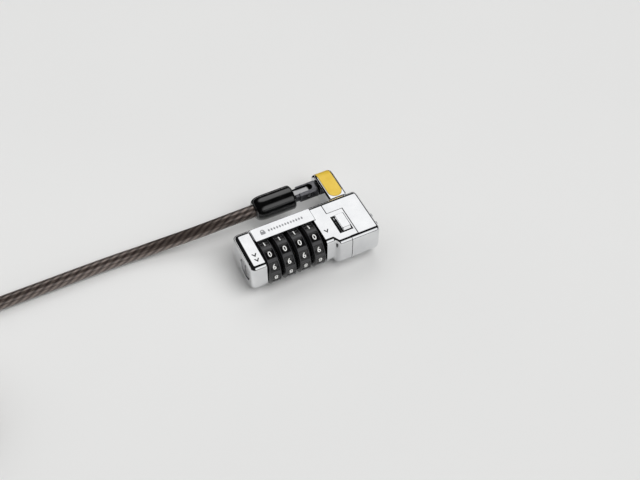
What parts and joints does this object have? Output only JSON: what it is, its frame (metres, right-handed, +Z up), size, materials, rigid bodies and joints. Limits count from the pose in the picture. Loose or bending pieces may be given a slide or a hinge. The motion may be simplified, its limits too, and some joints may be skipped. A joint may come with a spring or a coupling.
{
  "type": "laptop cable lock",
  "caption": "Chrome combination lock head with numbered dials, slot hooks at the nose, a hinged swivel connector and a coiled steel security cable.",
  "frame": {"origin": "middle of the lock without its cable, on the face that it rests on", "axes": "+X along the head from the end cap to the nose that meets the computer, +Y towards the side where the cable is held, +Z up"},
  "size_m": [0.2842, 0.0883, 0.023],
  "materials": {
    "chrome": "bright chrome plating on die-cast zinc",
    "steel": "ground hardened steel",
    "spring_steel": "drawn spring wire and strip",
    "brass": "turned brass",
    "dark_nickel": "dark nickel plating, satin",
    "satin_nickel": "satin nickel plating",
    "black_plastic": "moulded black plastic with white numbers",
    "yellow_plastic": "moulded yellow plastic, satin",
    "black_pvc": "smooth moulded black vinyl",
    "pad_rubber": "matt grey rubber",
    "cable": "smoky clear vinyl over twisted steel wire",
    "strap": "black hook-and-loop tape"
  },
  "bodies": {
    "head": {"end_cap": "chrome", "main_housing": "chrome", "nose_housing": "chrome", "name_plate": "chrome", "bottom_cover": "chrome", "nose_pad": "pad_rubber", "cap_pin_1": "steel", "cap_pin_2": "steel", "spindle_bush": "brass", "detent_spring": "spring_steel", "spindle_spring": "spring_steel", "button_spring": "spring_steel", "hook_pin_front": "steel", "hook_pin_back": "steel", "cable_bracket": "chrome", "bracket_inlay": "yellow_plastic", "bracket_screw_1": "steel", "bracket_screw_2": "steel", "fork_stud": "steel", "swivel_fork": "dark_nickel", "fork_pin": "steel", "cable_run": "cable", "cable_coil": "cable", "cable_tail": "cable", "cable_eye": "cable", "eye_crimp": "satin_nickel", "coil_strap": "strap"},
    "reset": {"reset_dial": "satin_nickel"},
    "spindle": {"spindle": "steel", "drive_pin": "steel"},
    "button": {"release_button": "chrome"},
    "hook_front": {"hook_front": "steel"},
    "hook_back": {"hook_back": "steel"},
    "link": {"cable_link": "satin_nickel"},
    "swivel": {"cable_ferrule": "satin_nickel", "cable_boot": "black_pvc", "cable_end": "cable"},
    "dial_1": {"number_ring_1": "black_plastic", "code_sleeve_1": "brass"},
    "dial_2": {"number_ring_2": "black_plastic", "code_sleeve_2": "brass"},
    "dial_3": {"number_ring_3": "black_plastic", "code_sleeve_3": "brass"},
    "dial_4": {"number_ring_4": "black_plastic", "code_sleeve_4": "brass"}
  },
  "joints": [
    {"name": "dial_1_turn", "type": "hinge", "parent": "head", "child": "dial_1", "pos_m": [-0.02326, -0.01215, 0.0114], "axis": [1, 0, 0], "continuous": true},
    {"name": "dial_2_turn", "type": "hinge", "parent": "head", "child": "dial_2", "pos_m": [-0.01548, -0.01215, 0.0114], "axis": [1, 0, 0], "continuous": true},
    {"name": "dial_3_turn", "type": "hinge", "parent": "head", "child": "dial_3", "pos_m": [-0.0077, -0.01215, 0.0114], "axis": [1, 0, 0], "continuous": true},
    {"name": "dial_4_turn", "type": "hinge", "parent": "head", "child": "dial_4", "pos_m": [0.00008, -0.01215, 0.0114], "axis": [1, 0, 0], "continuous": true},
    {"name": "reset_turn", "type": "hinge", "parent": "head", "child": "reset", "pos_m": [-0.034, -0.01215, 0.0114], "axis": [1, 0, 0], "range_deg": [0, 90]},
    {"name": "button_press", "type": "slide", "parent": "head", "child": "button", "axis": [0, 0, -1], "range_m": [0, 0.0012], "stiffness_N_per_m": 400, "springref_m": -0.001, "deforming": ["button_spring"]},
    {"name": "spindle_slide", "type": "slide", "parent": "head", "child": "spindle", "axis": [-1, 0, 0], "range_m": [0, 0.0012], "deforming": ["spindle_spring"]},
    {"name": "hook_front_turn", "type": "hinge", "parent": "head", "child": "hook_front", "pos_m": [0.024, -0.01735, 0.0114], "axis": [0, 0, 1], "range_deg": [0, 5.3]},
    {"name": "hook_back_turn", "type": "hinge", "parent": "head", "child": "hook_back", "pos_m": [0.024, -0.00695, 0.0114], "axis": [0, 0, 1], "range_deg": [-5.3, 0]},
    {"name": "link_fold", "type": "hinge", "parent": "head", "child": "link", "pos_m": [0.0126, 0.01855, 0.0125], "axis": [0, 1, 0], "range_deg": [0, 75]},
    {"name": "cable_swivel", "type": "hinge", "parent": "link", "child": "swivel", "pos_m": [-0.007, 0.01855, 0.0125], "axis": [1, 0, 0], "continuous": true}
  ],
  "couplings": [
    {"joint": "spindle_slide", "follows": "button_press", "ratio": 1},
    {"joint": "hook_front_turn", "follows": "button_press", "rad_per_m": 75},
    {"joint": "hook_back_turn", "follows": "button_press", "rad_per_m": -75}
  ]
}
